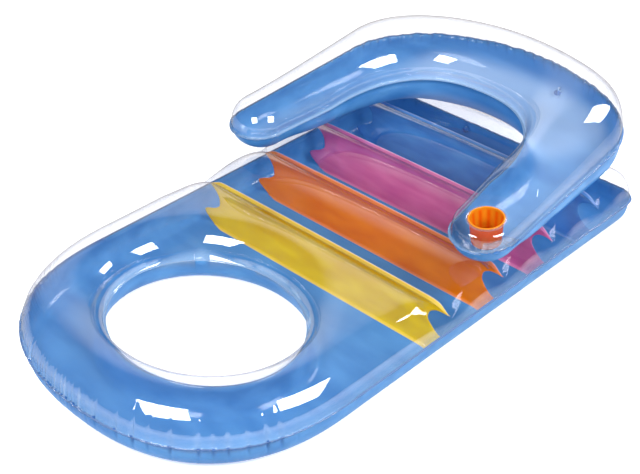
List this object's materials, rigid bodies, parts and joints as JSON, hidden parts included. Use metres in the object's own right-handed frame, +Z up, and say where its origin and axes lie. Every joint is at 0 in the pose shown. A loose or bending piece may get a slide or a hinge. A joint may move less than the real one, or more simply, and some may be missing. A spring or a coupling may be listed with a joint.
{
  "type": "inflatable pool mattress",
  "caption": "Inflatable pool mattress: clear-topped blue base with a foot opening and coloured upright webs, a raised U-shaped head and arm rest, and a cup well.",
  "frame": {"origin": "on the surface it rests on, under the middle of its bounding box", "axes": "+Y from the foot opening to the head rest, +X towards the arm with the cup well, +Z up"},
  "size_m": [0.909, 1.6225, 0.3851],
  "materials": {
    "clear_film": "glossy clear PVC film",
    "blue_film": "glossy translucent PVC film",
    "yellow_film": "glossy translucent PVC film",
    "orange_film": "glossy translucent PVC film",
    "magenta_film": "glossy translucent PVC film",
    "deep_blue_film": "glossy translucent PVC film",
    "cup_moulding": "glossy translucent moulded PVC",
    "valve_vinyl": "soft moulded vinyl"
  },
  "bodies": {
    "base": {"base_bottom_film": "blue_film", "base_top_film": "clear_film", "web_yellow": "yellow_film", "web_orange": "orange_film", "web_magenta": "magenta_film", "web_blue": "deep_blue_film", "arm_tab_left": "clear_film", "arm_tab_right": "clear_film", "base_valve_flange": "valve_vinyl"},
    "backrest": {"backrest_bottom_film": "blue_film", "backrest_top_film": "clear_film", "cup_well": "cup_moulding", "backrest_valve_flange": "valve_vinyl"},
    "base_valve_stem": {"base_valve_stem": "valve_vinyl"},
    "base_valve_plug": {"base_valve_plug": "valve_vinyl"},
    "base_valve_flap": {"base_valve_flap": "valve_vinyl"},
    "backrest_valve_stem": {"backrest_valve_stem": "valve_vinyl"},
    "backrest_valve_plug": {"backrest_valve_plug": "valve_vinyl"},
    "backrest_valve_flap": {"backrest_valve_flap": "valve_vinyl"}
  },
  "joints": [
    {"name": "backrest_lift", "type": "hinge", "parent": "base", "child": "backrest", "pos_m": [0, 0.1156, 0.162], "axis": [1, 0, 0], "range_deg": [-0.75, 32], "stiffness_Nm_per_rad": 60, "springref_deg": 1.2},
    {"name": "base_stem_push", "type": "slide", "parent": "base", "child": "base_valve_stem", "axis": [0, 0.9888, -0.1493], "range_m": [-0.0085, 0]},
    {"name": "base_plug_open", "type": "hinge", "parent": "base_valve_stem", "child": "base_valve_plug", "pos_m": [-0.131, 0.7213, 0.0453], "axis": [0, -0.1493, -0.9888], "range_deg": [0, 150]},
    {"name": "base_flap_open", "type": "hinge", "parent": "base_valve_stem", "child": "base_valve_flap", "pos_m": [-0.145, 0.69786, 0.04884], "axis": [0, -0.1493, -0.9888], "range_deg": [0, 50], "stiffness_Nm_per_rad": 0.002, "springref_deg": -11.46},
    {"name": "backrest_stem_push", "type": "slide", "parent": "backrest", "child": "backrest_valve_stem", "axis": [0.1455, 0.8882, -0.4358], "range_m": [-0.0085, 0]},
    {"name": "backrest_plug_open", "type": "hinge", "parent": "backrest_valve_stem", "child": "backrest_valve_plug", "pos_m": [0.11207, 0.79843, 0.21763], "axis": [0, -0.4405, -0.8977], "range_deg": [0, 150]},
    {"name": "backrest_flap_open", "type": "hinge", "parent": "backrest_valve_stem", "child": "backrest_valve_flap", "pos_m": [0.09477, 0.77921, 0.22707], "axis": [0, -0.4405, -0.8977], "range_deg": [0, 50], "stiffness_Nm_per_rad": 0.002, "springref_deg": -11.46}
  ]
}
